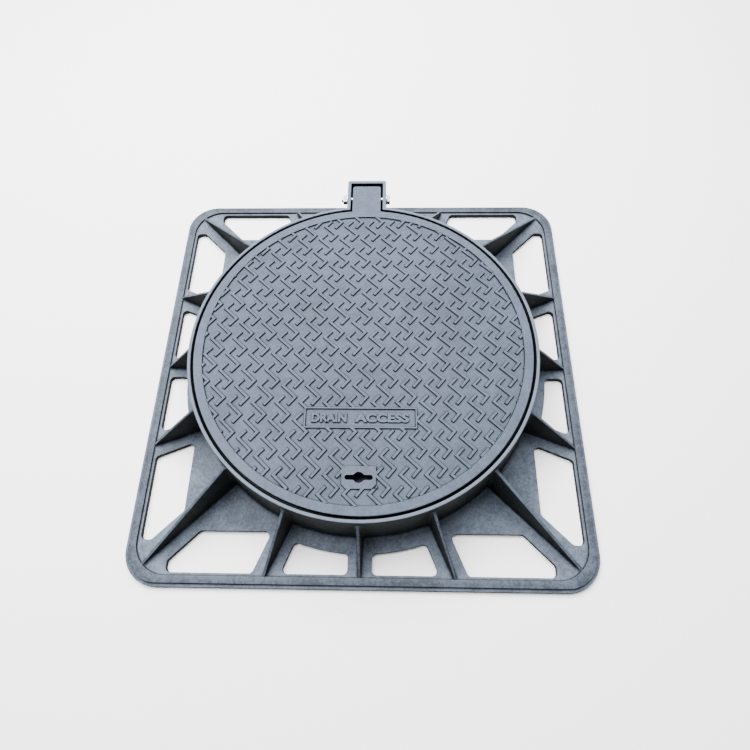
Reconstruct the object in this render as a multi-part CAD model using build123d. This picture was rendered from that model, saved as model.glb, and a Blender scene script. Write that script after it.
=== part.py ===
from build123d import *
import math
import os

# A hinged, ductile iron manhole cover in a square base frame. Millimetres, +Z up.
# The origin is the middle of the frame's underside. The hinge is at the back, towards +Y.

# ---- overall sizes ----
frame_side = 850.0            # square base flange, outside
frame_height = 120.0          # underside of the flange to the road surface
cover_diameter = 635.0
seat_overlap = 17.5           # the cover's edge reaches this far past the clear opening

# ---- base flange ----
plate_thickness = 11.0
edge_height = 9.0             # of the step outside the rim
edge_lean = 1.0               # the outer face leans in by this much at the top
rim_height = 15.0             # raised strip round the plate
rim_width = 20.0              # from the plate's edge to the inside of the rim
rim_setback = 6.5             # from the plate's edge to the foot of the rim
rim_lean = 1.0
frame_corner_radius = 65.0
rim_inner_radius = 60.0
window_margin = 5.0           # plate left between the rim and the windows
window_corner_radius = 9.0
window_collar = 29.0          # plate left round the foot of the wall
middle_band = 21.5            # half width of plate under the webs at the middle of a side
side_band = 23.0              # half width of plate under the webs beside the corners
corner_band = 25.0            # half width of plate under the corner webs
corner_land = 60.0            # plate left past the end of a corner window, from the rim

# ---- wall and seat ----
cover_gap = 5.0               # all round between cover and wall
lip_width = 6.0
wall_lean = 7.5               # the outside of the wall spreads by this much towards its foot
wall_thickness = 9.0
foot_fillet = 8.0
foot_flange = 14.0            # width of the wall's foot outside the wall
ledge_thickness = 12.0
haunch_height = 14.0          # of the slope that carries the ledge
lip_round = 1.5

# ---- webs ----
web_count = 16                # places round the wall, the hinge box takes one of them
web_drop = 15.0               # from the lip down to the top of a web
web_root = 11.0               # thickness at the foot, beside the wall
web_crest = 5.5               # thickness along the top edge, beside the wall
web_tip = 7.0                 # thickness at the foot of the outer end
web_tip_crest = 4.5           # thickness along the top edge at the outer end

# ---- cover ----
cover_edge_height = 25.0
cover_plate_thickness = 14.0
tread_depth = 3.0
cover_rim_width = 16.5
skirt_width = 14.0
skirt_draft = 2.0
key_slot_length = 48.0
key_slot_width = 8.5
key_eye_diameter = 19.0
key_blend = 5.0               # radius where the slot runs into the eye
key_inset = 64.5              # from the cover's edge to the middle of the keyway
key_pad_width = 60.0
key_pad_depth = 40.0
key_pad_chamfer = 8.0
label_length = 201.0
label_width = 40.0
label_border = 4.0
label_to_key = 106.5          # from the middle of the label to the middle of the keyway
raised_draft = 15.0           # degrees, on everything raised from the tread field

# ---- underside of the cover ----
hub_radius = 70.0
rib_thickness = 9.0
rib_depth = 34.0
rib_to_ledge = 8.0            # ribs rise to pass over the seat this far inside the clear opening
rib_over_seat = 2.0
rib_count = 8
pocket_wall = 5.0
pocket_clearance = 4.0        # round the key's head, so that it can turn in the pocket
pocket_depth = 26.0

# ---- seating ring ----
gasket_thickness = 3.0
gasket_width = 15.0
gasket_inset = 3.5            # from the edge of the clear opening

# ---- hinge ----
bolt_diameter = 10.0
bolt_clearance = 0.15         # on diameter, bolt in its holes
bolt_across = 17.0            # across the flats of head and nut
bolt_head_height = 6.4
bolt_end_chamfer = 1.2
hexagon_chamfer = 1.2
nut_height = 8.4
washer_diameter = 20.0
washer_thickness = 2.0
thread_end = 4.0              # thread standing out of the nut
tongue_width = 59.5
tongue_gap = 4.75             # each side of the tongue
tongue_thickness = 20.0
hinge_wall = 6.75
hinge_reach = 45.5            # from the edge of the cover back to the hinge line
hinge_drop = 18.0             # from the road surface down to the hinge line
tail_length = 21.0            # from the hinge line to the back of the tongue
tail_swing = 2.7              # clearance behind the swinging tail
eye_radius = 13.0
slot_clearance = 3.0          # under the tongue where it crosses the wall
tongue_corner_radius = 5.0
hinge_corner_radius = 4.0
hinge_land = 12.0             # plate left between the hinge housing and the windows beside it

# ---- worked out from the sizes above ----
half = frame_side / 2
cover_radius = cover_diameter / 2
opening_radius = cover_radius - seat_overlap
pocket_radius = cover_radius + cover_gap
lip_radius = pocket_radius + lip_width
foot_radius = lip_radius + wall_lean
inside_foot = foot_radius - wall_thickness
foot_edge = foot_radius + foot_flange
window_radius = foot_radius + window_collar
rim_inside = half - rim_width
window_outside = rim_inside - window_margin
seat_z = frame_height - cover_edge_height
ledge_z = seat_z - gasket_thickness
haunch_z = ledge_z - ledge_thickness - haunch_height
haunch_slope = haunch_height / (inside_foot - opening_radius)
ledge_foot_z = haunch_z + haunch_slope * (inside_foot - pocket_radius)
web_top_z = frame_height - web_drop
web_step = 360.0 / web_count
hinge_y = cover_radius + hinge_reach
hinge_z = frame_height - hinge_drop
box_inside = tongue_width / 2 + tongue_gap
box_outside = box_inside + hinge_wall
box_back = hinge_y + math.hypot(tail_length, hinge_drop) + tail_swing
bolt_hole = bolt_diameter + bolt_clearance
field_radius = cover_radius - cover_rim_width
field_z = frame_height - tread_depth
plate_under_z = frame_height - cover_plate_thickness
skirt_inside = cover_radius - skirt_width
key_reach = cover_radius - key_inset
label_reach = key_reach - label_to_key


def revolved(points, rounded=()):
    """A solid of revolution about Z from (radius, height) points, some of them rounded."""
    outline = make_face(Polyline(*points, close=True))
    for (radius, height), size in rounded:
        corner = outline.vertices().sort_by_distance((radius, height, 0))[0]
        outline = fillet(corner, size)
    return revolve(Rot(90, 0, 0) * outline, Axis.Z, 360)


def block(x, y, z):
    """A box given by its (low, high) limits along each axis."""
    size = [high - low for low, high in (x, y, z)]
    middle = [(high + low) / 2 for low, high in (x, y, z)]
    return Pos(*middle) * Box(*size)


def outside_only(body, wall):
    """What is left of a body outside the wall, without the scraps inside it."""
    return (body - wall).solids().sort_by(SortBy.VOLUME)[-1]


def rod_along_x(diameter, start, end):
    """A cylinder on the hinge line between two places along X."""
    rod = Rot(0, 90, 0) * Cylinder(diameter / 2, end - start)
    return Pos((start + end) / 2, hinge_y, hinge_z) * rod


def hexagon_along_x(across, start, end, edge_chamfer):
    """A hexagon on the hinge line, its outer corners turned down at both ends."""
    length = end - start
    prism = extrude(RegularPolygon(across / 2, 6, major_radius=False), length)
    round_bar = extrude(Circle(across / math.sqrt(3)), length)
    round_bar = chamfer(round_bar.edges().filter_by(GeomType.CIRCLE), edge_chamfer)
    return Pos(start, hinge_y, hinge_z) * Rot(0, 90, 0) * (prism & round_bar)


# ---------------------------------------------------------------- base flange
def corner_window():
    """Window between a corner web and the next one, on the front side, towards +X."""
    slope = math.tan(math.radians(web_step))
    offset = side_band / math.cos(math.radians(web_step))
    start = math.radians(web_step) + math.asin(side_band / window_radius)
    inner = window_radius * math.cos(start)
    diagonal = corner_band * math.sqrt(2)
    last = rim_inside - corner_land
    points = [
        (inner * slope + offset, -inner),
        (window_outside * slope + offset, -window_outside),
        (last, -window_outside),
        (last, -(last + diagonal)),
        (inner - diagonal, -inner),
    ]
    outline = make_face(Polyline(*points, close=True))
    return fillet(outline.vertices(), window_corner_radius)


def middle_window(start):
    """Window between the middle of the front side and the next web, towards +X."""
    slope = math.tan(math.radians(web_step))
    offset = side_band / math.cos(math.radians(web_step))
    points = [
        (start, -(start + offset) / slope),
        (start, -window_outside),
        (window_outside * slope - offset, -window_outside),
    ]
    outline = make_face(Polyline(*points, close=True)) - Circle(window_radius)
    return fillet(outline.vertices(), window_corner_radius)


def square_slab(setback, bottom, top, lean):
    """A slab set back from the frame's outline, its sides leaning in from bottom to top."""
    side = frame_side - 2 * setback
    outline = RectangleRounded(side, side, frame_corner_radius - setback)
    draft = math.degrees(math.atan2(lean, top - bottom))
    return Pos(0, 0, bottom) * extrude(outline, top - bottom, taper=draft)


def base_flange():
    body = square_slab(0, 0, edge_height, edge_lean)
    body += square_slab(rim_setback, edge_height, rim_height, rim_lean)
    inside = RectangleRounded(2 * rim_inside, 2 * rim_inside, rim_inner_radius)
    body -= Pos(0, 0, plate_thickness) * extrude(inside, rim_height)
    body -= extrude(Circle(foot_edge), rim_height)
    corner = extrude(corner_window(), rim_height)
    middle = extrude(middle_window(middle_band), rim_height)
    beside_hinge = extrude(middle_window(box_outside + hinge_land), rim_height)
    for side in range(4):
        hinge_side = side == 2
        for window in (corner, beside_hinge if hinge_side else middle):
            for cut in (window, mirror(window, Plane.YZ)):
                body -= Rot(0, 0, 90 * side) * cut
    return body


# ---------------------------------------------------------------- wall and seat
def seat_ledge():
    """The ledge that the cover sits on, inside the wall, with the slope that carries it."""
    under_z = ledge_z - ledge_thickness
    points = [
        (pocket_radius, ledge_z),
        (opening_radius, ledge_z),
        (opening_radius, under_z),
        (pocket_radius, ledge_foot_z),
    ]
    return revolved(points, [((opening_radius, under_z), lip_round)])


def ring_wall():
    """The leaning wall with its foot, whose top is the pocket for the cover."""
    points = [
        (foot_edge, 0),
        (foot_edge, plate_thickness),
        (foot_radius, plate_thickness),
        (lip_radius, frame_height),
        (pocket_radius, frame_height),
        (pocket_radius, ledge_foot_z),
        (inside_foot, haunch_z),
        (inside_foot, 0),
    ]
    rounded = [
        ((foot_radius, plate_thickness), foot_fillet),
        ((lip_radius, frame_height), lip_round),
        ((pocket_radius, frame_height), lip_round),
    ]
    wall = revolved(points, rounded)
    slot_z = frame_height - tongue_thickness - slot_clearance
    slot = block((-box_inside, box_inside), (0, foot_edge), (slot_z, frame_height + 1))
    return wall - slot


# ---------------------------------------------------------------- webs
def web_section(radius, foot_width, crest_width, top):
    """The upright section of a web at a distance from the middle, on the front side."""
    points = [
        (-foot_width / 2, -radius, plate_thickness),
        (foot_width / 2, -radius, plate_thickness),
        (crest_width / 2, -radius, top),
        (-crest_width / 2, -radius, top),
    ]
    return make_face(Polyline(*points, close=True))


def web(reach, angle, wall):
    """A gusset from the wall down to the rim, its top a straight slope."""
    start = lip_radius + wall_lean * web_drop / (frame_height - plate_thickness)
    slope = (web_top_z - rim_height) / (reach - start)
    inner = pocket_radius + lip_round
    sections = [
        web_section(inner, web_root, web_crest, web_top_z + slope * (start - inner)),
        web_section(reach, web_tip, web_tip_crest, rim_height),
    ]
    body = Rot(0, 0, angle) * loft(sections, ruled=True)
    inside = extrude(RectangleRounded(2 * rim_inside, 2 * rim_inside, rim_inner_radius), frame_height)
    return outside_only(body & inside, wall)


def webs_at(places, wall):
    """Webs by their place round the wall, counted from the middle of the front towards +X."""
    solids = []
    for place in places:
        angle = place * web_step
        off_side = math.radians(abs((angle + 45) % 90 - 45))
        reach = rim_inside / math.cos(off_side) + web_tip / 2 * math.tan(off_side)
        if place % (web_count // 4) == web_count // 8:
            reach = (rim_inside - rim_inner_radius) * math.sqrt(2) + rim_inner_radius
        solids.append(web(reach, angle, wall))
    return Compound(children=solids)


# ---------------------------------------------------------------- hinge housing
def hinge_cheeks(wall, flange):
    cheek = block((box_inside, box_outside), (pocket_radius, box_back), (plate_thickness, frame_height))
    cheek = outside_only(cheek, wall) - flange - rod_along_x(bolt_hole, 0, 2 * box_outside)
    return Compound(children=cheek.solids() + mirror(cheek, Plane.YZ).solids())


def hinge_back_wall(flange):
    back = box_back + hinge_wall
    housing = block((-box_outside, box_outside), (box_back, back), (plate_thickness, frame_height))
    outer = housing.edges().filter_by(Axis.Z).group_by(Axis.Y)[-1]
    return fillet(outer, hinge_corner_radius) - flange


# ---------------------------------------------------------------- hinge hardware
def hinge_bolt():
    head_start = box_outside + washer_thickness
    tail_end = -(head_start + nut_height + thread_end)
    shank = rod_along_x(bolt_diameter, tail_end, head_start)
    shank = chamfer(shank.edges().group_by(Axis.X)[0], bolt_end_chamfer)
    return shank + hexagon_along_x(bolt_across, head_start, head_start + bolt_head_height, hexagon_chamfer)


def hinge_nut():
    end = -(box_outside + washer_thickness)
    nut = hexagon_along_x(bolt_across, end - nut_height, end, hexagon_chamfer)
    return nut - rod_along_x(bolt_hole, end - 2 * nut_height, end + nut_height)


def hinge_washers():
    washer = rod_along_x(washer_diameter, box_outside, box_outside + washer_thickness)
    washer -= rod_along_x(bolt_hole, 0, 2 * box_outside)
    return Compound(children=washer.solids() + mirror(washer, Plane.YZ).solids())


def seating_ring():
    inner = opening_radius + gasket_inset
    points = [(inner, ledge_z), (inner + gasket_width, ledge_z), (inner + gasket_width, seat_z), (inner, seat_z)]
    return revolved(points)


# ---------------------------------------------------------------- cover
def raised(outline, inwards):
    """An outline raised from the tread field to the road surface, with sloping sides."""
    return Pos(0, 0, field_z) * extrude(outline, tread_depth, taper=-raised_draft if inwards else raised_draft)


def label_panel():
    """A raised rectangular border round a recessed panel."""
    inner_length = label_length - 2 * label_border
    inner_width = label_width - 2 * label_border
    border = raised(Rectangle(label_length, label_width), False)
    border -= raised(Rectangle(inner_length, inner_width), True)
    return Pos(0, -label_reach, 0) * border


def key_pad():
    """The flat land round the keyway, its two front corners cut off."""
    x, y, cut = key_pad_width / 2, key_pad_depth / 2, key_pad_chamfer
    points = [(x, y), (-x, y), (-x, cut - y), (cut - x, -y), (x - cut, -y), (x, cut - y)]
    return Pos(0, -key_reach, 0) * raised(make_face(Polyline(*points, close=True)), False)


def keyway():
    """The hole for a T-shaped key: a slot with a round eye, right through the plate."""
    outline = SlotOverall(key_slot_length, key_slot_width) + Circle(key_eye_diameter / 2)
    corners = [vertex for vertex in outline.vertices() if abs(vertex.X) < key_eye_diameter / 2]
    outline = fillet(corners, key_blend)
    hole = extrude(outline, 2 * cover_plate_thickness)
    return Pos(0, -key_reach, plate_under_z - cover_plate_thickness / 2) * hole


def cover_plate():
    draft = tread_depth * math.tan(math.radians(raised_draft))
    points = [
        (0, plate_under_z),
        (cover_radius, plate_under_z),
        (cover_radius, frame_height),
        (field_radius, frame_height),
        (field_radius - draft, field_z),
        (0, field_z),
    ]
    plate = revolved(points, [((cover_radius, frame_height), lip_round)])
    return plate + label_panel() + key_pad() - keyway()


def keyway_land(plate):
    """The plate round the keyway, in two halves that meet along the slot."""
    x, y = key_pad_width / 2, key_pad_depth / 2
    halves = []
    for limits in ((-key_reach - y, -key_reach), (-key_reach, y - key_reach)):
        halves += (plate & block((-x, x), limits, (plate_under_z, frame_height))).solids()
    return Compound(children=halves)


def cover_skirt():
    points = [
        (skirt_inside, plate_under_z),
        (cover_radius, plate_under_z),
        (cover_radius - skirt_draft, seat_z),
        (skirt_inside, seat_z),
    ]
    return revolved(points)


def cover_hub():
    low = plate_under_z - rib_depth
    inner = hub_radius - rib_thickness
    return revolved([(inner, low), (hub_radius, low), (hub_radius, plate_under_z), (inner, plate_under_z)])


def cover_ribs(hub, skirt):
    """Radial ribs under the plate, deep at the hub and shallow where they pass over the seat."""
    start = hub_radius - rib_thickness / 2
    end = skirt_inside + skirt_width / 2
    over_ledge = opening_radius - rib_to_ledge
    points = [
        (start, plate_under_z),
        (start, plate_under_z - rib_depth),
        (over_ledge, ledge_z),
        (skirt_inside, seat_z + rib_over_seat),
        (end, seat_z + rib_over_seat),
        (end, plate_under_z),
    ]
    outline = Rot(90, 0, 0) * make_face(Polyline(*points, close=True))
    rib = extrude(outline, rib_thickness / 2, both=True) - hub - skirt
    step = 360 / rib_count
    solids = []
    for number in range(rib_count):
        solids += (Rot(0, 0, step * (number + 0.5) - 90) * rib).solids()
    return Compound(children=solids)


def keyway_pocket():
    """A closed cup under the keyway that keeps dirt out and gives the key room to turn."""
    inside = key_slot_length / 2 + pocket_clearance
    cup = Cylinder(inside + pocket_wall, pocket_depth)
    cup -= Pos(0, 0, pocket_wall) * Cylinder(inside, pocket_depth)
    return Pos(0, -key_reach, plate_under_z - pocket_depth / 2) * cup


def hinge_tongue(plate, skirt):
    """The cover's tongue, flush with its top, with the eye that turns on the hinge bolt."""
    side = tongue_width / 2
    front = cover_radius - skirt_width / 2
    back = hinge_y + tail_length
    bar = block((-side, side), (front, back), (frame_height - tongue_thickness, frame_height))
    bar = fillet(bar.edges().filter_by(Axis.Z).group_by(Axis.Y)[-1], tongue_corner_radius)
    eye = rod_along_x(2 * eye_radius, -side, side)
    body = bar + eye - rod_along_x(bolt_hole, -tongue_width, tongue_width)
    return body - plate - skirt


flange = base_flange()
wall = ring_wall()
plate = cover_plate()
land = keyway_land(plate)
skirt = cover_skirt()
hub = cover_hub()

nodes = {
    "base_flange": flange,
    "ring_wall": wall,
    "seat_ledge": seat_ledge(),
    "corner_webs": webs_at([2, 6, 10, 14], wall),
    "front_webs": webs_at([15, 0, 1], wall),
    "right_webs": webs_at([3, 4, 5], wall),
    "back_webs": webs_at([7, 9], wall),
    "left_webs": webs_at([11, 12, 13], wall),
    "hinge_cheeks": hinge_cheeks(wall, flange),
    "hinge_back_wall": hinge_back_wall(flange),
    "seating_ring": seating_ring(),
    "hinge_bolt": hinge_bolt(),
    "hinge_nut": hinge_nut(),
    "hinge_washers": hinge_washers(),
    "cover_plate": plate - land,
    "keyway_land": land,
    "cover_skirt": skirt,
    "cover_hub": hub,
    "cover_ribs": cover_ribs(hub, skirt),
    "keyway_pocket": keyway_pocket(),
    "hinge_tongue": hinge_tongue(plate, skirt),
}

os.makedirs("parts", exist_ok=True)
for name, shape in nodes.items():
    export_step(shape, f"parts/{name}.step")
    size = shape.bounding_box().size
    print(f"{name:16s} solids {len(shape.solids())}  size {size.X:.1f} x {size.Y:.1f} x {size.Z:.1f}")
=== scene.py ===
# %% [markdown]
# A hinged manhole cover in a square base frame. The frame, the cover and the hinge hardware
# are measured pieces that already exist. This file gives them their finish: the tread, the
# lettering, the fillets and rounded edges of a sand casting, the paint, the light and the camera.
# Everything is in metres, with the origin in the middle of the frame's underside.

# %% Load the measured pieces
import math

import bmesh
import bpy
from mathutils import Matrix, Vector


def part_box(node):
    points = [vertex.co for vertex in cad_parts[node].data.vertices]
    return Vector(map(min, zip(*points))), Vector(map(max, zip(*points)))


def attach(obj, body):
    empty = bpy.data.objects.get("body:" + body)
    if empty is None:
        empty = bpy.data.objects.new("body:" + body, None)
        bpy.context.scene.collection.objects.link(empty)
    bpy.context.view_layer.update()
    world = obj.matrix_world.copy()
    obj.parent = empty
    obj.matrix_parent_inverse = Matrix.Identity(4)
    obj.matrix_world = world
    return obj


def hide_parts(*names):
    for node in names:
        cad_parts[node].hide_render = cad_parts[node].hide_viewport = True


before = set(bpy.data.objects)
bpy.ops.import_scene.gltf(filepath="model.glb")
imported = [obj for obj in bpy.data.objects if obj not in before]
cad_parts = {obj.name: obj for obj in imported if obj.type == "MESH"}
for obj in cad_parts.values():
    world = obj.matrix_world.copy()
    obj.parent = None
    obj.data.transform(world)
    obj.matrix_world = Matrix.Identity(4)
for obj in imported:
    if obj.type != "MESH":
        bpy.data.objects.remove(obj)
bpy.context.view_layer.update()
MM = 0.001

# %% [markdown]
# The camera comes first. It stands in front of the cover and looks steeply down at it, with a
# wide lens, so the near side of the square frame looks wider than the far side. A camera looks
# along its own -Z, so its matrix is made from its right, up and back directions.

# %% Camera
CAMERA_AZIMUTH = math.radians(3.899)
CAMERA_ELEVATION = math.radians(65.662)
CAMERA_ROLL = math.radians(-3.244)
CAMERA_AIM = Vector((0.0208, -0.0100, 0))
CAMERA_DISTANCE = 1.1117
CAMERA_LENS = 25.787


def add_camera():
    level = Vector((math.cos(CAMERA_AZIMUTH), math.sin(CAMERA_AZIMUTH), 0))
    behind = Vector((math.sin(CAMERA_AZIMUTH), -math.cos(CAMERA_AZIMUTH), 0))
    back = behind * math.cos(CAMERA_ELEVATION) + Vector((0, 0, math.sin(CAMERA_ELEVATION)))
    raised = back.cross(level)
    right = level * math.cos(CAMERA_ROLL) + raised * math.sin(CAMERA_ROLL)
    up = raised * math.cos(CAMERA_ROLL) - level * math.sin(CAMERA_ROLL)
    camera = bpy.data.objects.new("camera", bpy.data.cameras.new("camera"))
    camera.data.lens = CAMERA_LENS
    bpy.context.scene.collection.objects.link(camera)
    turn = Matrix((right, up, back)).transposed().to_4x4()
    camera.matrix_world = Matrix.Translation(CAMERA_AIM + back * CAMERA_DISTANCE) @ turn
    bpy.context.scene.camera = camera
    return camera


print("camera at", tuple(round(c, 3) for c in add_camera().location))

# %% [markdown]
# Shader maths reads best as plain sums. `Value` wraps one output of a node, and each operator
# adds the Math node that does that sum. `Finish` holds one material and adds any other node:
# its settings first, then the values or links of its sockets.


# %% Shader helpers
class Value:
    """One output of a node, which can be used in sums."""

    def __init__(self, finish, socket):
        self.finish, self.socket = finish, socket

    def sum(self, operation, first, second):
        return self.finish.node("ShaderNodeMath", {"operation": operation}, {0: first, 1: second})

    def __add__(self, other):
        return self.sum("ADD", self, other)

    def __sub__(self, other):
        return self.sum("SUBTRACT", self, other)

    def __rsub__(self, other):
        return self.sum("SUBTRACT", other, self)

    def __mul__(self, other):
        return self.sum("MULTIPLY", self, other)

    __radd__ = __add__
    __rmul__ = __mul__


class Finish:
    """A material, with short ways to add its nodes."""

    def __init__(self, name):
        self.material = bpy.data.materials.new(name)
        self.material.use_nodes = True
        self.tree = self.material.node_tree
        self.shader = self.tree.nodes["Principled BSDF"]

    def node(self, kind, settings=None, inputs=None, output=0):
        made = self.tree.nodes.new(kind)
        for name, setting in (settings or {}).items():
            setattr(made, name, setting)
        for key, entry in (inputs or {}).items():
            self.feed(made.inputs[key], entry)
        return Value(self, made.outputs[output])

    def feed(self, socket, entry):
        if isinstance(entry, Value):
            self.tree.links.new(entry.socket, socket)
        else:
            socket.default_value = entry

    def along_z(self, coordinates):
        """The Z part of a kind of texture coordinates, such as Object or Normal."""
        whole = self.node("ShaderNodeTexCoord", output=coordinates)
        return self.node("ShaderNodeSeparateXYZ", inputs={"Vector": whole}, output="Z")

    def openness(self, distance):
        """1 on an open face, and less near an inside corner, within that distance."""
        settings, inputs = {"samples": 8}, {"Distance": distance}
        return self.node("ShaderNodeAmbientOcclusion", settings, inputs, output="AO")

    def noise(self, size, detail=3.0, roughness=0.6):
        """Soft random patches about `size` metres across, near 0.5 on average."""
        place = self.node("ShaderNodeTexCoord", output="Object")
        inputs = {"Vector": place, "Scale": 1 / size, "Detail": detail, "Roughness": roughness}
        return self.node("ShaderNodeTexNoise", inputs=inputs, output="Fac")

    def ramp(self, value, low, high):
        """0 below `low`, 1 above `high`, and smooth between."""
        settings = {"interpolation_type": "SMOOTHSTEP"}
        inputs = {"Value": value, "From Min": low, "From Max": high}
        return self.node("ShaderNodeMapRange", settings, inputs)

    def mix(self, share, first, second):
        """The first colour where `share` is 0 and the second where it is 1."""
        inputs = {0: share, 6: first, 7: second}
        return self.node("ShaderNodeMix", {"data_type": "RGBA"}, inputs, output=2)

    def bump(self, height, strength, distance):
        inputs = {"Strength": strength, "Distance": distance, "Height": height}
        return self.node("ShaderNodeBump", inputs=inputs, output="Normal")

    def set(self, **entries):
        for name, entry in entries.items():
            self.feed(self.shader.inputs[name.replace("_", " ")], entry)


print("shader helpers ready")

# %% [markdown]
# The casting is dipped in black bitumen paint. Faces that look up are painted blue-grey, partly
# a thin bloom of dust and handling marks and partly a painted sheen of the overhead light, while
# the steep faces keep the dark paint and the inside corners get painted shade. The share of grey
# follows how far a face looks up, in the piece's own directions, so it stays in place when the
# cover swings. The low plate of the frame is painted lighter, as painted light where the ring
# wall shades it, and the top faces at road level carry a painted highlight, partly wear. Noise
# at four sizes breaks it all up: slow clouds, mottle, sand grain and fine specks. The grain also
# drives bump and roughness.

# %% Painted iron
IRON_DARK = (0.0065, 0.008, 0.009)
# The blue-grey of faces that look up: partly dust, partly a painted sheen of the overhead light.
FRAME_DUST_AND_SHEEN = (0.046, 0.056, 0.073)
COVER_DUST_AND_SHEEN = (0.045, 0.056, 0.078)
PLATE_TOP = 11 * MM
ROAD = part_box("ring_wall")[1].z
CLOUD, MOTTLE, SAND, SPECK = 130 * MM, 24 * MM, 4.5 * MM, 1.3 * MM
# How far the painted shade of the inside corners reaches.
WEB_SHADE, CORNER_SHADE = 30 * MM, 4 * MM
IRON_GLOSS = 0.08


def tinted(colour, share):
    return [channel * share for channel in colour] + [1]


def painted_iron(name, dust_and_sheen, uneven, wear_and_highlight):
    """`uneven` is how patchy the paint is, and `wear_and_highlight` how bright its faces at road
    level are: a painted highlight, partly wear.
    """
    finish = Finish(name)
    up, height = finish.along_z("Normal"), finish.along_z("Object")
    cloud = finish.noise(CLOUD, detail=4.0)
    mottle = finish.noise(MOTTLE, detail=4.0, roughness=0.65)
    sand = finish.noise(SAND, detail=2.0, roughness=0.7)
    speck = finish.noise(SPECK, detail=1.0)
    patchy = ((cloud - 0.5) * 0.5 + (mottle - 0.5) * 0.6 + (sand - 0.5) * 0.7) * uneven

    # Painted shade: darker near the webs, the wall and every inside corner, found by ambient
    # occlusion.
    unshaded_share = finish.ramp(finish.openness(WEB_SHADE) + patchy * 0.4, 0.08, 0.52)
    unshaded_share = unshaded_share * finish.ramp(finish.openness(CORNER_SHADE), 0.45, 0.95)
    # Faces that look up are lighter: partly dust, partly a painted sheen of the overhead light.
    dust_and_sheen_share = finish.ramp(up + patchy * 0.4, 0.25, 0.82) * unshaded_share

    plain = finish.mix(finish.ramp(patchy, -0.16, 0.16), tinted(dust_and_sheen, 0.72), tinted(dust_and_sheen, 1.28))
    # Painted light: the low plate is lighter, standing in for the light that the ring wall keeps
    # off it.
    plate_painted_light = finish.mix(finish.ramp(patchy, -0.25, 0.25), tinted(dust_and_sheen, 1.1), tinted(dust_and_sheen, 2.1))
    above_plate = finish.ramp(height, PLATE_TOP + 0.5 * MM, PLATE_TOP + 2.5 * MM)
    # Painted highlight, partly wear: the faces at road level are brighter.
    at_road = finish.ramp(height, ROAD - 1.2 * MM, ROAD - 0.3 * MM)
    light = finish.mix(above_plate, plate_painted_light, plain)
    light = finish.mix(at_road * wear_and_highlight, light, tinted(dust_and_sheen, 2.6))
    blotch = finish.ramp(mottle, 0.35, 0.65)
    deep = finish.mix(blotch, tinted(IRON_DARK, 0.6), tinted(IRON_DARK, 1.5))

    finish.set(
        Base_Color=finish.mix(dust_and_sheen_share, deep, light),
        Roughness=patchy * 0.3 + (1 - dust_and_sheen_share) * 0.3 + 0.46,
        Normal=finish.bump(sand * 0.6 + speck * 0.4, strength=0.6, distance=0.4 * MM),
        Specular_IOR_Level=IRON_GLOSS,
    )
    return finish.material


frame_paint = painted_iron("frame_paint", FRAME_DUST_AND_SHEEN, uneven=1.3, wear_and_highlight=0.5)
cover_paint = painted_iron("cover_paint", COVER_DUST_AND_SHEEN, uneven=0.6, wear_and_highlight=0.1)
print("paints made:", frame_paint.name, cover_paint.name)

# %% [markdown]
# The hinge bolt, its nut and its washers are zinc plated steel: a metal, fairly smooth, with a
# slight cloudy dullness. The seating ring under the cover's edge is plain black rubber.

# %% Zinc plate and rubber
ZINC_DULL, ZINC_BRIGHT = (0.50, 0.52, 0.54, 1), (0.68, 0.70, 0.71, 1)
RUBBER_DARK, RUBBER_PALE = (0.012, 0.012, 0.013, 1), (0.024, 0.024, 0.025, 1)


def zinc_plate():
    finish = Finish("zinc_plate")
    cloud, fine = finish.noise(4 * MM), finish.noise(0.6 * MM, detail=2.0)
    finish.set(
        Base_Color=finish.mix(finish.ramp(cloud, 0.35, 0.65), ZINC_DULL, ZINC_BRIGHT),
        Roughness=cloud * 0.3 + 0.22,
        Normal=finish.bump(fine, strength=0.3, distance=0.08 * MM),
        Metallic=1.0,
    )
    return finish.material


def ring_rubber():
    finish = Finish("ring_rubber")
    cloud, fine = finish.noise(6 * MM), finish.noise(0.8 * MM, detail=2.0)
    finish.set(
        Base_Color=finish.mix(finish.ramp(cloud, 0.3, 0.7), RUBBER_DARK, RUBBER_PALE),
        Roughness=cloud * 0.2 + 0.65,
        Normal=finish.bump(fine, strength=0.4, distance=0.1 * MM),
    )
    return finish.material


SLOT_FINISH = {
    "frame_iron": frame_paint,
    "cover_iron": cover_paint,
    "zinc_steel": zinc_plate(),
    "seat_rubber": ring_rubber(),
}
SLOT_OF = {name: node.material_slots[0].material.name for name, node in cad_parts.items()}
for name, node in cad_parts.items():
    node.material_slots[0].material = SLOT_FINISH[SLOT_OF[name]]
print("finishes on", len(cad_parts), "pieces")

# %% [markdown]
# Some pieces need a finer mesh than the one that was measured. Each is rebuilt from a merged
# copy of it, so that it keeps its place and size, and then stands for the original. These
# helpers take the copy, make the new piece and soften all but its sharp edges.


# %% Mesh helpers
def merged_copy(name):
    """A measured piece as one closed bmesh, with its flat faces whole."""
    shape = bmesh.new()
    shape.from_mesh(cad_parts[name].data)
    bmesh.ops.remove_doubles(shape, verts=shape.verts, dist=0.001 * MM)
    bmesh.ops.dissolve_limit(shape, angle_limit=0.003, verts=shape.verts, edges=shape.edges)
    return shape


def new_piece(name, shape, paint, body, sharp=32.0):
    """Turns a bmesh into a piece that rides on a body."""
    shape.normal_update()
    for face in shape.faces:
        face.smooth = True
    limit = math.radians(sharp)
    for edge in shape.edges:
        edge.smooth = len(edge.link_faces) == 2 and edge.calc_face_angle(0.0) < limit
    mesh = bpy.data.meshes.new(name)
    shape.to_mesh(mesh)
    shape.free()
    mesh.materials.append(paint)
    piece = bpy.data.objects.new(name, mesh)
    bpy.context.scene.collection.objects.link(piece)
    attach(piece, body)
    return piece


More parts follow.
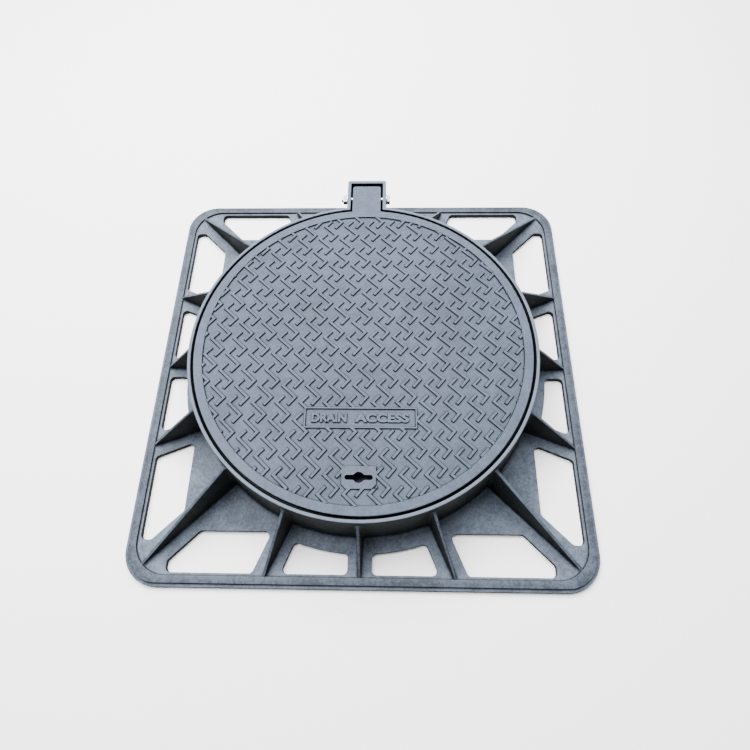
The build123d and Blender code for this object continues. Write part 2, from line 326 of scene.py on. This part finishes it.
def islands(shape):
    """The separate solids in a bmesh, each as its set of vertices."""
    left, found = set(shape.verts), []
    while left:
        front = [left.pop()]
        island = set(front)
        while front:
            for edge in front.pop().link_edges:
                for vert in edge.verts:
                    if vert in left:
                        left.remove(vert)
                        island.add(vert)
                        front.append(vert)
        found.append(island)
    return found


print("mesh helpers ready")

# %% [markdown]
# The webs are gussets between the ring wall and the rim. A casting never has a sharp inside
# corner: each web runs into the plate and the wall in a small fillet, and its crest is rounded.
# The fillets are made by cutting the side faces into narrow strips near the plate and the wall,
# and moving the cuts outwards along a quarter circle.

# %% Webs with fillets
WALL_FOOT = 336 * MM
WALL_LIP = 328.5 * MM
WALL_LEAN = (WALL_FOOT - WALL_LIP) / (ROAD - PLATE_TOP)
WEB_STEP = 22.5
WEB_FILLET = 5.5 * MM
CREST_ROUND = 1.4 * MM
STRIP_HEIGHT, STRIP_LENGTH = 9 * MM, 6 * MM
MIDDLE_HALF = 0.6 * MM
CUT_MERGE = 0.0001 * MM
FINE_CUTS = [WEB_FILLET * share for share in (0.05, 0.13, 0.24, 0.38, 0.55, 0.76, 1.0)]
UPWARDS = Vector((0, 0, 1))


def flare(depth):
    """How far a fillet stands out at a distance from the inside corner."""
    rest = min(max(WEB_FILLET - depth, 0.0), WEB_FILLET)
    return WEB_FILLET - math.sqrt(WEB_FILLET ** 2 - rest ** 2)


def cut(shape, island, place, direction):
    """Cuts new edges through one solid, where a plane crosses it."""
    faces = {face for vert in island for face in vert.link_faces}
    edges = {edge for vert in island for edge in vert.link_edges}
    parts = [*island, *edges, *faces]
    made = bmesh.ops.bisect_plane(
        shape, geom=parts, plane_co=place, plane_no=direction, dist=CUT_MERGE)
    island.update(item for item in made["geom_cut"] if isinstance(item, bmesh.types.BMVert))


def fillet_web(shape, island):
    middle = sum((vert.co for vert in island), Vector()) / len(island)
    around = math.degrees(math.atan2(middle.y, middle.x))
    angle = math.radians(round(around / WEB_STEP) * WEB_STEP)
    along = Vector((math.cos(angle), math.sin(angle), 0))
    side = Vector((-along.y, along.x, 0))
    from_wall = (along + UPWARDS * WALL_LEAN).normalized()
    reach = max(vert.co.dot(along) for vert in island)
    top = max(vert.co.z for vert in island)
    for depth in FINE_CUTS:
        cut(shape, island, UPWARDS * (PLATE_TOP + depth), UPWARDS)
        cut(shape, island, along * (WALL_FOOT + depth) + UPWARDS * PLATE_TOP, from_wall)
    height = PLATE_TOP + 2 * WEB_FILLET
    while height < top:
        cut(shape, island, UPWARDS * height, UPWARDS)
        height += STRIP_HEIGHT
    place = WALL_FOOT + 2 * WEB_FILLET
    while place < reach:
        cut(shape, island, along * place, along)
        place += STRIP_LENGTH
    for vert in island:
        sideways = vert.co.dot(side)
        if abs(sideways) > MIDDLE_HALF:
            above = vert.co.z - PLATE_TOP
            outside = math.hypot(vert.co.dot(along), sideways) - (WALL_FOOT - WALL_LEAN * above)
            vert.co += side * math.copysign(max(flare(above), flare(outside)), sideways)


def crest_edges(shape):
    """The long edges between a web's sloping top and its steep sides."""
    found = []
    for edge in shape.edges:
        if len(edge.link_faces) == 2 and edge.calc_length() > 4 * MM:
            steep, sloping = sorted(face.normal.z for face in edge.link_faces)
            high = max(vert.co.z for vert in edge.verts) > PLATE_TOP + 5 * MM
            if sloping > 0.4 and abs(steep) < 0.3 and high:
                found.append(edge)
    return found


def add_webs(node):
    shape = merged_copy(node)
    crests = crest_edges(shape)
    bmesh.ops.bevel(shape, geom=crests, offset=CREST_ROUND, segments=3, profile=0.5,
                    affect="EDGES")
    for island in islands(shape):
        fillet_web(shape, island)
    piece = new_piece(f"{node}_cast", shape, frame_paint, "frame")
    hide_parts(node)
    return piece


for node in ("corner_webs", "front_webs", "right_webs", "back_webs", "left_webs"):
    piece = add_webs(node)
    print(piece.name, len(piece.data.polygons), "faces")

# %% [markdown]
# The base flange lies flat on its bed. Its window edges and its raised rim are rounded where
# the mould was, which shows as a thin light line along each edge. The edges where it runs on
# into the foot of the ring wall stay as they are, so that no groove opens there.

# %% Base flange
EDGE_ROUND = 1.3 * MM
FLANGE_START = 352 * MM
CORNER_ANGLE = math.radians(40)
housing_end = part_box("hinge_back_wall")[1]


def at_hinge(vert):
    return abs(vert.co.x) < housing_end.x + MM and 0 < vert.co.y < housing_end.y + MM


def open_edges(shape):
    """The flange's outward corners, apart from where it meets the wall and the hinge housing."""
    found = []
    for edge in shape.edges:
        corner = len(edge.link_faces) == 2 and edge.calc_face_angle_signed(0.0) >= CORNER_ANGLE
        on_flange = all(vert.co.xy.length > FLANGE_START for vert in edge.verts)
        if corner and on_flange and not all(at_hinge(vert) for vert in edge.verts):
            found.append(edge)
    return found


flange = merged_copy("base_flange")
bmesh.ops.bevel(flange, geom=open_edges(flange), offset=EDGE_ROUND, segments=2, profile=0.5,
                affect="EDGES", clamp_overlap=True)
piece = new_piece("base_flange_cast", flange, frame_paint, "frame")
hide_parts("base_flange")
print(piece.name, len(piece.data.polygons), "faces")

# %% [markdown]
# The tread is a field of small raised Z marks that give shoes and tyres a grip. It is one mark,
# repeated on a leaning grid, and cut off at the rim of the cover, at the name panel and at the
# pad round the keyway. One mark is listed: a bent bar with drafted sides, given in millimetres
# as the corners of its middle line and its half width at four heights above the field.
# Geometry Nodes repeat it, because its spacing can then be changed in one place.

# %% One tread mark
TREAD_DEPTH = 3 * MM
FIELD = ROAD - TREAD_DEPTH
MARK_LINE = [(-1.15, 22.75), (-11.95, 11.0), (11.8, -10.9), (0.9, -23.9)]
MARK_LEVELS = [(-0.4, 3.5), (0.0, 3.4), (2.4, 2.45), (3.0, 1.9)]


def offset_line(points, half_width):
    """Corners of a bar of that half width round a bent line, in order."""
    line = [Vector(point) for point in points]
    steps = [(end - start).normalized() for start, end in zip(line, line[1:])]
    left = []
    for i, point in enumerate(line):
        before, after = steps[max(i - 1, 0)], steps[min(i, len(steps) - 1)]
        normal = Vector((-before.y, before.x)) + Vector((-after.y, after.x))
        normal = normal / normal.length_squared * 2
        end = (i == len(line) - 1) - (i == 0)
        left.append((point + after * end * half_width, normal * half_width))
    return [point + out for point, out in left] + [point - out for point, out in reversed(left)]


def tread_mark():
    shape = bmesh.new()
    loops = []
    for height, half_width in MARK_LEVELS:
        corners = offset_line(MARK_LINE, half_width)
        loops.append([shape.verts.new((x * MM, y * MM, FIELD + height * MM)) for x, y in corners])
    count = len(loops[0])
    for lower, upper in zip(loops, loops[1:]):
        for i in range(count):
            j = (i + 1) % count
            shape.faces.new((lower[i], lower[j], upper[j], upper[i]))
    for loop, order in ((loops[0], -1), (loops[-1], 1)):
        for i in range(count // 2 - 1):
            shape.faces.new([loop[k] for k in (i, i + 1, count - 2 - i, count - 1 - i)][::order])
    bmesh.ops.recalc_face_normals(shape, faces=shape.faces)
    return shape


mark = tread_mark()
print("one mark has", len(mark.faces), "faces")

# %% [markdown]
# The tree lays out a grid, leans it, drops the places that lie outside the field and puts a
# mark on each of the rest. Then it keeps only what lies inside the round field and outside the
# panel and the pad. Every size is an input of the tree, and the modifier fills them in. Slivers
# that the cutting leaves at the field's edge would not come out of a mould, so they are dropped.

# %% Tread tree
RAISED_DRAFT = TREAD_DEPTH * math.tan(math.radians(15))
COVER_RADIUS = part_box("cover_plate")[1].x
FIELD_RADIUS = COVER_RADIUS - 16.5 * MM
PANEL_PLACE, PANEL_SIZE = -146.5 * MM, (201 * MM, 40 * MM)
PAD_PLACE, PAD_SIZE = -253 * MM, (60 * MM, 40 * MM)
TREAD_INPUTS = {
    "Column pitch": 43.13 * MM,
    "Column rise": 0.52 * MM,
    "Row pitch": 32.95 * MM,
    "Row lean": 9.21 * MM,
    "Start across": -16.3 * MM,
    "Start along": 2.8 * MM,
    "Field radius": FIELD_RADIUS + RAISED_DRAFT,
    "Mark reach": 28 * MM,
}
GRID_STEPS = 24
CUTTER_HEIGHT = 4 * TREAD_DEPTH
FIELD_SIDES = 256
SMALLEST_MARK = 4 * MM


class Tree:
    """A Geometry Nodes tree, with a short way to add and link its nodes."""

    def __init__(self, name, sizes):
        self.group = bpy.data.node_groups.new(name, "GeometryNodeTree")
        face = self.group.interface
        face.new_socket("Geometry", in_out="INPUT", socket_type="NodeSocketGeometry")
        for size in sizes:
            face.new_socket(size, in_out="INPUT", socket_type="NodeSocketFloat")
        face.new_socket("Geometry", in_out="OUTPUT", socket_type="NodeSocketGeometry")
        self.start = self.group.nodes.new("NodeGroupInput").outputs
        self.end = self.group.nodes.new("NodeGroupOutput").inputs

    def node(self, kind, settings=None, inputs=None, output=0):
        made = self.group.nodes.new(kind)
        for name, setting in (settings or {}).items():
            setattr(made, name, setting)
        for key, entry in (inputs or {}).items():
            for one in entry if isinstance(entry, list) else [entry]:
                if isinstance(one, bpy.types.NodeSocket):
                    self.group.links.new(one, made.inputs[key])
                else:
                    made.inputs[key].default_value = one
        return made.outputs[output]

    def math(self, operation, first, second):
        return self.node("ShaderNodeMath", {"operation": operation}, {0: first, 1: second})

    def moved(self, geometry, place):
        inputs = {"Geometry": geometry, "Translation": place}
        return self.node("GeometryNodeTransform", inputs=inputs)

    def block(self, size, along):
        """A cutter for a raised rectangle on the field, as far in as the foot of its sides."""
        across, deep = (side - 2 * RAISED_DRAFT for side in size)
        cube = self.node("GeometryNodeMeshCube", inputs={"Size": (across, deep, CUTTER_HEIGHT)})
        return self.moved(cube, (0, along, ROAD))

    def boolean(self, operation, inputs):
        settings = {"operation": operation, "solver": "MANIFOLD"}
        return self.node("GeometryNodeMeshBoolean", settings, inputs)


def tread_tree():
    tree = Tree("tread_marks", TREAD_INPUTS)
    size = {name: tree.start[name] for name in TREAD_INPUTS}
    grid = tree.node("GeometryNodeMeshGrid", inputs={
        "Size X": tree.math("MULTIPLY", size["Column pitch"], float(GRID_STEPS)),
        "Size Y": tree.math("MULTIPLY", size["Row pitch"], float(GRID_STEPS)),
        "Vertices X": GRID_STEPS + 1, "Vertices Y": GRID_STEPS + 1})
    place = tree.node("GeometryNodeInputPosition")
    across = tree.node("ShaderNodeSeparateXYZ", inputs={0: place}, output="X")
    along = tree.node("ShaderNodeSeparateXYZ", inputs={0: place}, output="Y")
    lean = tree.math("MULTIPLY", along, size["Row lean"])
    lean = tree.math("DIVIDE", lean, size["Row pitch"])
    rise = tree.math("MULTIPLY", across, size["Column rise"])
    rise = tree.math("DIVIDE", rise, size["Column pitch"])
    shift = tree.node("ShaderNodeCombineXYZ", inputs={
        "X": tree.math("ADD", lean, size["Start across"]),
        "Y": tree.math("ADD", rise, size["Start along"])})
    leaning = tree.node("GeometryNodeSetPosition", inputs={"Geometry": grid, "Offset": shift})
    far = tree.node("ShaderNodeVectorMath", {"operation": "LENGTH"}, {0: place}, output="Value")
    limit = tree.math("ADD", size["Field radius"], size["Mark reach"])
    outside = tree.node("FunctionNodeCompare", {"operation": "GREATER_THAN"}, {0: far, 1: limit})
    near = tree.node("GeometryNodeDeleteGeometry", {"domain": "POINT"}, {
        "Geometry": leaning, "Selection": outside})
    marks = tree.node("GeometryNodeInstanceOnPoints", inputs={
        "Points": near, "Instance": tree.start["Geometry"]})
    solid_marks = tree.node("GeometryNodeRealizeInstances", inputs={"Geometry": marks})
    field = tree.node("GeometryNodeMeshCylinder", inputs={
        "Vertices": FIELD_SIDES, "Radius": size["Field radius"], "Depth": CUTTER_HEIGHT})
    kept = tree.boolean("INTERSECT", {"Mesh 2": [solid_marks, tree.moved(field, (0, 0, ROAD))]})
    bare = [tree.block(PANEL_SIZE, PANEL_PLACE), tree.block(PAD_SIZE, PAD_PLACE)]
    kept = tree.boolean("DIFFERENCE", {"Mesh 1": kept, "Mesh 2": bare})
    whole = tree.node("GeometryNodeRealizeInstances", inputs={"Geometry": kept})
    finish = {"Geometry": whole, "Material": cover_paint}
    painted = tree.node("GeometryNodeSetMaterial", inputs=finish)
    tree.group.links.new(painted, tree.end[0])
    return tree.group


def grown_mesh(name, start, tree, sizes):
    """The plain mesh that a tree makes from a starting bmesh."""
    mesh = bpy.data.meshes.new(f"{name}_start")
    start.to_mesh(mesh)
    start.free()
    seed = bpy.data.objects.new(f"{name}_start", mesh)
    bpy.context.scene.collection.objects.link(seed)
    modifier = seed.modifiers.new("tree", "NODES")
    modifier.node_group = tree
    for item in tree.interface.items_tree:
        if item.in_out == "INPUT" and item.name in sizes:
            modifier[item.identifier] = sizes[item.name]
    bpy.context.view_layer.update()
    evaluated = seed.evaluated_get(bpy.context.evaluated_depsgraph_get())
    grown = bpy.data.meshes.new_from_object(evaluated)
    seed.modifiers.remove(modifier)
    bpy.data.objects.remove(seed)
    return grown


def drop_slivers(shape):
    for island in islands(shape):
        along = [vert.co.y for vert in island]
        if max(along) - min(along) < SMALLEST_MARK:
            bmesh.ops.delete(shape, geom=list(island), context="VERTS")


tread = bmesh.new()
tread.from_mesh(grown_mesh("tread", mark, tread_tree(), TREAD_INPUTS))
drop_slivers(tread)
piece = new_piece("tread_marks", tread, cover_paint, "cover", sharp=24.0)
print(piece.name, len(piece.data.polygons), "faces", tuple(round(d, 4) for d in piece.dimensions))

# %% [markdown]
# The name panel carries two plain words in raised letters. They start as text, become a mesh,
# are squeezed to the panel, and stand as high as the panel's border. Text is easiest to make
# thicker while it is still a curve, so its weight is given in letter heights.

# %% Lettering
LETTER_HEIGHT = 17.5 * MM
LETTER_DEPTH, LETTER_DRAFT, LETTER_WEIGHT = 0.09, 0.014, 0.042
WORDS = (("DRAIN", -87 * MM, -24 * MM), ("ACCESS", -10 * MM, 86 * MM))


def raised_word(word, start, end):
    text = bpy.data.curves.new("word", "FONT")
    text.body = word
    text.extrude = LETTER_DEPTH
    text.bevel_depth = LETTER_DRAFT
    text.bevel_resolution = 0
    text.offset = LETTER_WEIGHT
    text.resolution_u = 4
    holder = bpy.data.objects.new("word", text)
    bpy.context.scene.collection.objects.link(holder)
    bpy.context.view_layer.update()
    evaluated = holder.evaluated_get(bpy.context.evaluated_depsgraph_get())
    mesh = bpy.data.meshes.new_from_object(evaluated)
    bpy.data.objects.remove(holder)
    low = [min(vert.co[axis] for vert in mesh.vertices) for axis in range(3)]
    high = [max(vert.co[axis] for vert in mesh.vertices) for axis in range(3)]
    across = (end - start) / (high[0] - low[0])
    tall = LETTER_HEIGHT / (high[1] - low[1])
    rise = 2 * TREAD_DEPTH / (high[2] - low[2])
    foot = PANEL_PLACE - LETTER_HEIGHT / 2
    for vert in mesh.vertices:
        x, y, z = (value - least for value, least in zip(vert.co, low))
        vert.co = (start + x * across, foot + y * tall, FIELD - TREAD_DEPTH + z * rise)
    return mesh


letters = bmesh.new()
for word in WORDS:
    letters.from_mesh(raised_word(*word))
bmesh.ops.remove_doubles(letters, verts=letters.verts, dist=0.01 * MM)
piece = new_piece("panel_letters", letters, cover_paint, "cover")
print(piece.name, len(piece.data.polygons), "faces", tuple(round(d, 4) for d in piece.dimensions))

# %% [markdown]
# The cover stands on a plain pale floor in a bright, soft studio: a large panel of light
# overhead, a little behind the cover so that its sheen falls towards the camera, and a pale
# surround that fills the shadows.

# %% Floor and light
FLOOR_REACH = 8.0
FLOOR_PALE = (0.93, 0.93, 0.93, 1)
OVERHEAD_PLACE = Vector((-0.5, 1.0, 2.3))
OVERHEAD_SIZE = (3.0, 2.4)
OVERHEAD_POWER = 470
SURROUND_PALE = (0.95, 0.97, 1.0, 1)
SURROUND_STRENGTH = 0.55


def add_floor():
    mesh = bpy.data.meshes.new("floor")
    turns = ((-1, -1), (1, -1), (1, 1), (-1, 1))
    corners = [(x * FLOOR_REACH, y * FLOOR_REACH, 0) for x, y in turns]
    mesh.from_pydata(corners, [], [(0, 1, 2, 3)])
    floor = bpy.data.objects.new("floor", mesh)
    bpy.context.scene.collection.objects.link(floor)
    finish = Finish("studio_floor")
    finish.set(Base_Color=FLOOR_PALE, Roughness=0.9, Specular_IOR_Level=0.1)
    mesh.materials.append(finish.material)


def add_overhead():
    """A rectangle of light, which looks along its own -Z, turned to face the cover."""
    light = bpy.data.lights.new("overhead", "AREA")
    light.shape, light.energy = "RECTANGLE", OVERHEAD_POWER
    light.size, light.size_y = OVERHEAD_SIZE
    holder = bpy.data.objects.new("overhead", light)
    bpy.context.scene.collection.objects.link(holder)
    holder.location = OVERHEAD_PLACE
    holder.rotation_euler = (-OVERHEAD_PLACE).to_track_quat("-Z", "Y").to_euler()


def add_surround():
    world = bpy.data.worlds.new("surround")
    world.use_nodes = True
    background = world.node_tree.nodes["Background"]
    background.inputs["Color"].default_value = SURROUND_PALE
    background.inputs["Strength"].default_value = SURROUND_STRENGTH
    bpy.context.scene.world = world


add_floor()
add_overhead()
add_surround()
